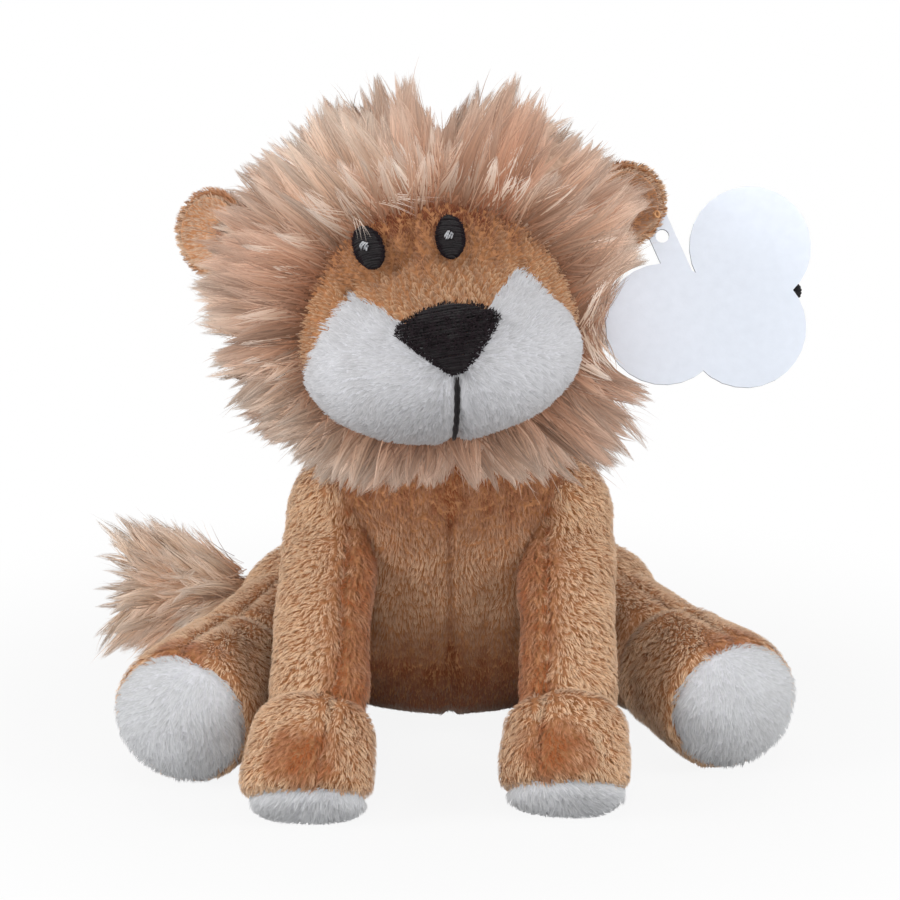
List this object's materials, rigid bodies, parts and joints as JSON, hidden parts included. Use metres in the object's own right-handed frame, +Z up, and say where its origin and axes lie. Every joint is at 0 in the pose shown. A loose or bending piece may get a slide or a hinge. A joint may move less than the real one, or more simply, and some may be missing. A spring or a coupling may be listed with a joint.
{
  "type": "plush lion",
  "caption": "Small seated plush lion with a shaggy long-pile mane, splayed legs with white soles, a tufted tail and a blank card tag threaded to its right ear.",
  "frame": {"origin": "middle of the flat patch under the torso that the lion sits on", "axes": "+Z up, -Y the way the lion faces, +X the viewer's right when looking at its face"},
  "size_m": [0.1625, 0.1272, 0.1491],
  "materials": {
    "tan_plush": "short-pile polyester plush, matt, with a visible nap",
    "white_plush": "short-pile white plush, matt",
    "long_pile": "long-pile faux fur in matted locks, soft sheen",
    "ear_lining": "darker short-pile plush, matt",
    "black_thread": "satin-stitched embroidery thread",
    "light_thread": "satin-stitched embroidery thread",
    "tan_thread": "twisted sewing thread",
    "fibre_filling": "hollow polyester fibre, hidden inside",
    "white_card": "smooth uncoated white card with a cut edge"
  },
  "bodies": {
    "torso": {"torso_cover": "tan_plush", "torso_filling": "fibre_filling"},
    "neck": {"neck_filling": "fibre_filling"},
    "head": {"head_cover": "tan_plush", "head_filling": "fibre_filling", "muzzle_left": "white_plush", "muzzle_right": "white_plush", "nose": "black_thread", "mouth_stitch": "black_thread", "eye_left": "black_thread", "eye_right": "black_thread", "eye_light_left": "light_thread", "eye_light_right": "light_thread", "mane": "long_pile"},
    "ear_left": {"ear_left": "tan_plush", "ear_lining_left": "ear_lining"},
    "ear_right": {"ear_right": "tan_plush", "ear_lining_right": "ear_lining", "tag_thread": "tan_thread"},
    "tag": {"tag": "white_card", "tag_knot": "black_thread"},
    "foreleg_left": {"foreleg_left": "tan_plush", "forepaw_left": "tan_plush", "forepaw_sole_left": "white_plush", "foreleg_filling_left": "fibre_filling"},
    "foreleg_right": {"foreleg_right": "tan_plush", "forepaw_right": "tan_plush", "forepaw_sole_right": "white_plush", "foreleg_filling_right": "fibre_filling"},
    "hind_leg_left": {"hind_leg_left": "tan_plush", "hind_foot_left": "tan_plush", "hind_sole_left": "white_plush", "hind_leg_filling_left": "fibre_filling"},
    "hind_leg_right": {"hind_leg_right": "tan_plush", "hind_foot_right": "tan_plush", "hind_sole_right": "white_plush", "hind_leg_filling_right": "fibre_filling"},
    "tail": {"tail": "tan_plush", "tail_tuft": "long_pile"}
  },
  "joints": [
    {"name": "head_turn", "type": "hinge", "parent": "torso", "child": "neck", "pos_m": [0, -0.014, 0.053], "axis": [0, 0, 1], "range_deg": [-25, 25]},
    {"name": "head_nod", "type": "hinge", "parent": "neck", "child": "head", "pos_m": [0, -0.014, 0.053], "axis": [1, 0, 0], "range_deg": [-10, 10]},
    {"name": "ear_left_flap", "type": "hinge", "parent": "head", "child": "ear_left", "pos_m": [-0.04149, -0.01735, 0.10907], "axis": [-0.2322, -0.0244, -0.9724], "range_deg": [0, 20], "stiffness_Nm_per_rad": 0.005},
    {"name": "ear_right_flap", "type": "hinge", "parent": "head", "child": "ear_right", "pos_m": [0.02804, -0.01005, 0.11351], "axis": [-0.3483, -0.0366, 0.9367], "range_deg": [0, 25], "stiffness_Nm_per_rad": 0.005},
    {"name": "tag_swing", "type": "hinge", "parent": "ear_right", "child": "tag", "pos_m": [0.04468, -0.00844, 0.11322], "axis": [0, 0.9511, -0.309], "range_deg": [-15, 5]},
    {"name": "foreleg_left_raise", "type": "hinge", "parent": "torso", "child": "foreleg_left", "pos_m": [-0.0252, -0.018, 0.048], "axis": [-1, 0, 0], "range_deg": [0, 30]},
    {"name": "foreleg_right_raise", "type": "hinge", "parent": "torso", "child": "foreleg_right", "pos_m": [0.0252, -0.018, 0.048], "axis": [-1, 0, 0], "range_deg": [0, 30]},
    {"name": "hind_leg_left_splay", "type": "hinge", "parent": "torso", "child": "hind_leg_left", "pos_m": [-0.031, 0.004, 0.0183], "axis": [0, 0, -1], "range_deg": [0, 25]},
    {"name": "hind_leg_right_splay", "type": "hinge", "parent": "torso", "child": "hind_leg_right", "pos_m": [0.031, 0.004, 0.0183], "axis": [0, 0, 1], "range_deg": [0, 25]},
    {"name": "tail_swing", "type": "hinge", "parent": "torso", "child": "tail", "pos_m": [-0.017, 0.0305, 0.015], "axis": [0, 0, 1], "range_deg": [-30, 15]}
  ]
}
